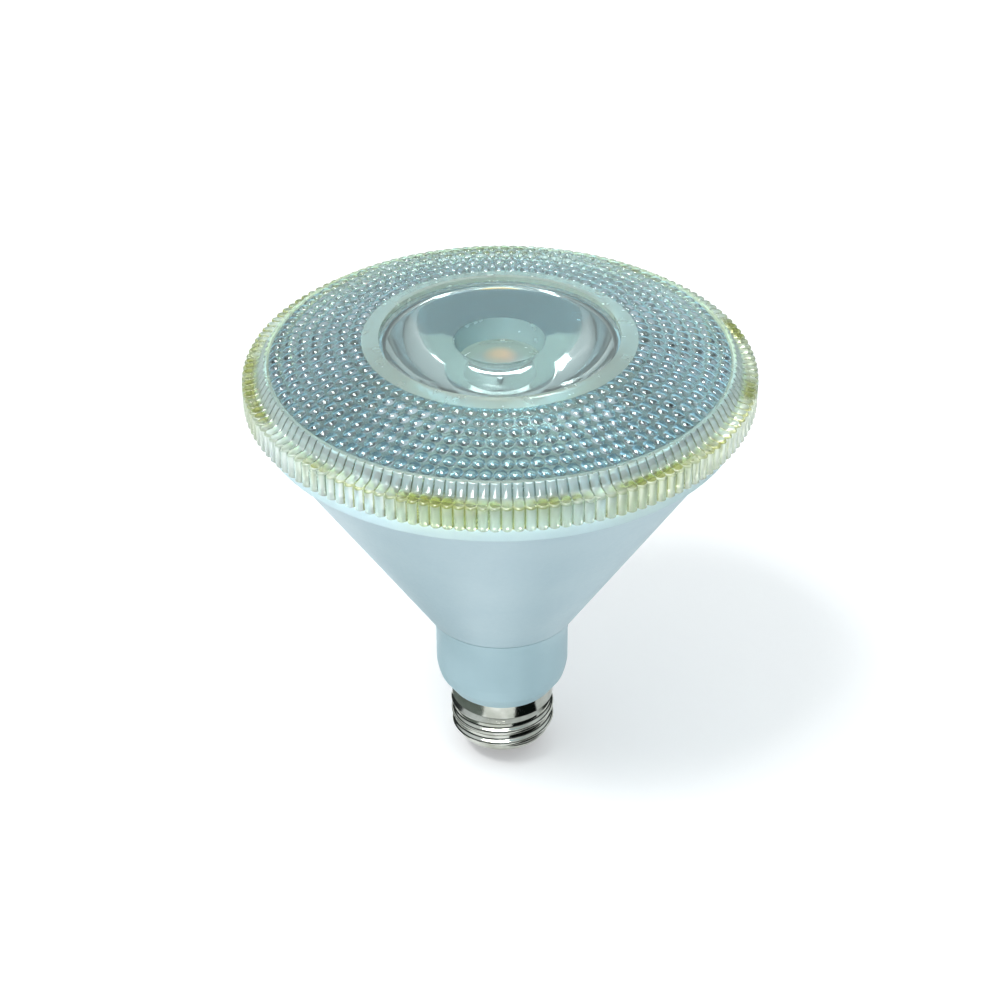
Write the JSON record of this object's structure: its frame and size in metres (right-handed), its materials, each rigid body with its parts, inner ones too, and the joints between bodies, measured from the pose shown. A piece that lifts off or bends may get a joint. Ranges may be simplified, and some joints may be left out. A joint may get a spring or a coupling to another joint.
{
  "type": "par spotlight bulb",
  "caption": "Reflector-shaped LED spotlight bulb: clear fluted lens with rings of lenslets and a centre collimator, white cone housing, neck, driver and E27 screw cap.",
  "frame": {"origin": "middle of the centre contact's face, at the lower end of the screw cap", "axes": "+Z along the lamp's axis from the cap to the lens; X and Y across the lamp"},
  "size_m": [0.121, 0.121, 0.1204],
  "materials": {
    "clear_plastic": "clear polished plastic",
    "adhesive": "aged yellowish cured adhesive",
    "white_plastic": "fine satin",
    "neck_plastic": "fine satin",
    "nickel": "bright nickel plate",
    "black_insulator": "glossy",
    "contact_metal": "nickel plate",
    "aluminium": "dark anodised, satin",
    "grey_rubber": "matt",
    "white_solder_mask": "satin",
    "white_ceramic": "matt",
    "phosphor": "soft satin",
    "screw_steel": "zinc plated",
    "green_board": "satin",
    "yellow_plastic": "satin",
    "blue_coating": "satin",
    "black_plastic": "matt",
    "ferrite": "matt",
    "black_sleeve": "satin",
    "red_sleeve": "satin",
    "white_sleeve": "satin"
  },
  "bodies": {
    "root": {"clear_lens": "clear_plastic", "rim_bead": "adhesive", "cone_housing": "white_plastic", "neck_base": "neck_plastic", "screw_shell": "nickel", "cap_insulator": "black_insulator", "centre_contact": "contact_metal", "heat_sink": "aluminium", "thermal_pad": "grey_rubber", "led_board": "white_solder_mask", "cob_base": "white_ceramic", "phosphor_disc": "phosphor", "board_screws": "screw_steel", "driver_board": "green_board", "film_capacitor": "yellow_plastic", "varistor": "blue_coating", "fuse_resistor": "blue_coating", "bridge_rectifier": "black_plastic", "filter_inductor": "ferrite", "bulk_capacitor": "black_sleeve", "output_capacitor": "black_sleeve", "transformer_core": "ferrite", "transformer_winding": "yellow_plastic", "switching_transistor": "black_plastic", "controller_chip": "black_plastic", "output_diode": "black_plastic", "red_lead": "red_sleeve", "black_lead": "black_sleeve", "shell_lead": "white_sleeve", "tip_lead": "white_sleeve"}
  },
  "joints": []
}
